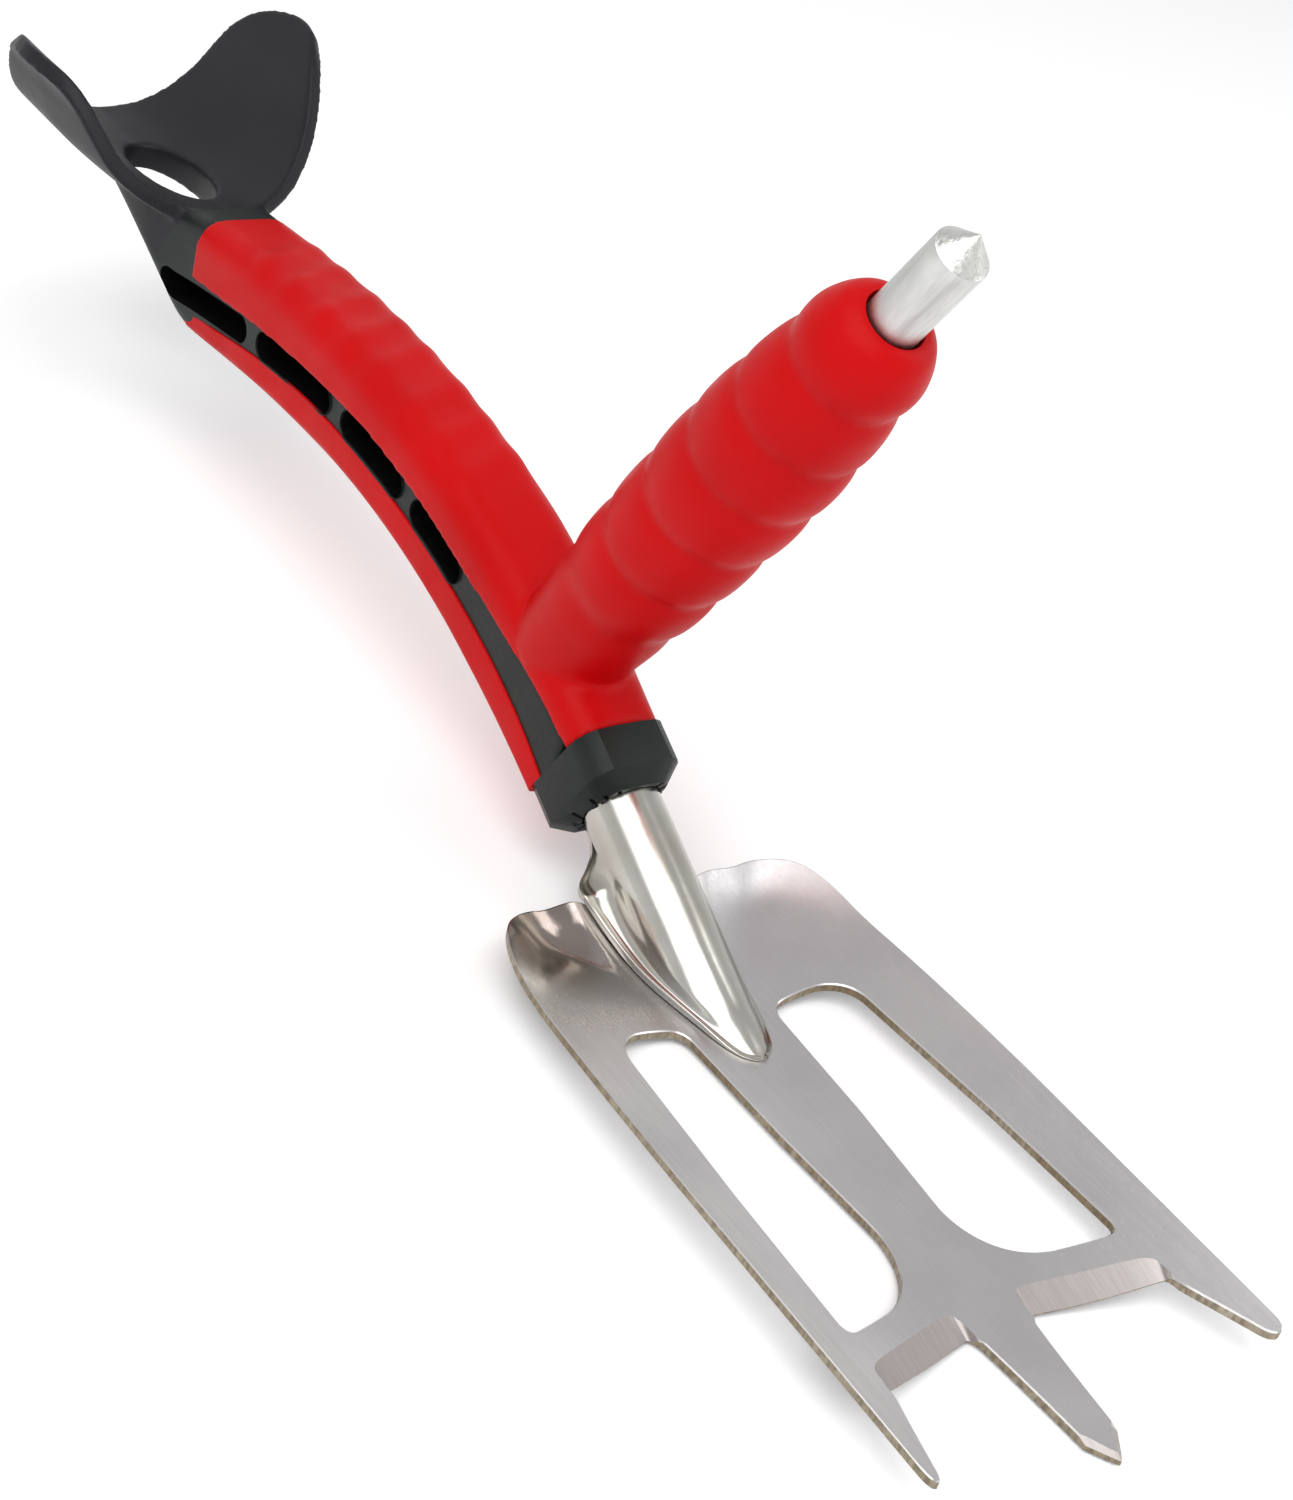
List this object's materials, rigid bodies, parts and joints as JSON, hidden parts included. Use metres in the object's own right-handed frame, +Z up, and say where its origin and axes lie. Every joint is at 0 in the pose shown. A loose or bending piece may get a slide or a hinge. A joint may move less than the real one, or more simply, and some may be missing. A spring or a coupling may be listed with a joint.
{
  "type": "hand weeder",
  "caption": "Hand weeding fork with a dished steel blade, tube socket, curved soft-grip beam, upright pistol grip with a metal rod, and a forearm cradle.",
  "frame": {"origin": "centre of the footprint, at the lowest point of the blade's underside", "axes": "+X runs forward along the tool to the tines, +Y to the user's left, +Z up, square to the blade"},
  "size_m": [0.4982, 0.1, 0.1963],
  "materials": {
    "blade_steel": "satin brushed, polished at the shoulders",
    "socket_steel": "mirror polished stainless",
    "rod_aluminium": "turned satin",
    "red_soft_grip": "soft-touch satin",
    "dark_nylon": "fine moulded texture",
    "cradle_soft_black": "soft-touch matt"
  },
  "bodies": {
    "root": {"fork_blade": "blade_steel", "tang_socket": "socket_steel", "weld_seam_left": "socket_steel", "weld_seam_right": "socket_steel", "tang_plug": "dark_nylon", "handle_core": "dark_nylon", "arm_cradle": "cradle_soft_black", "upper_grip": "red_soft_grip", "lower_grip": "red_soft_grip", "grip_rod": "rod_aluminium"}
  },
  "joints": []
}
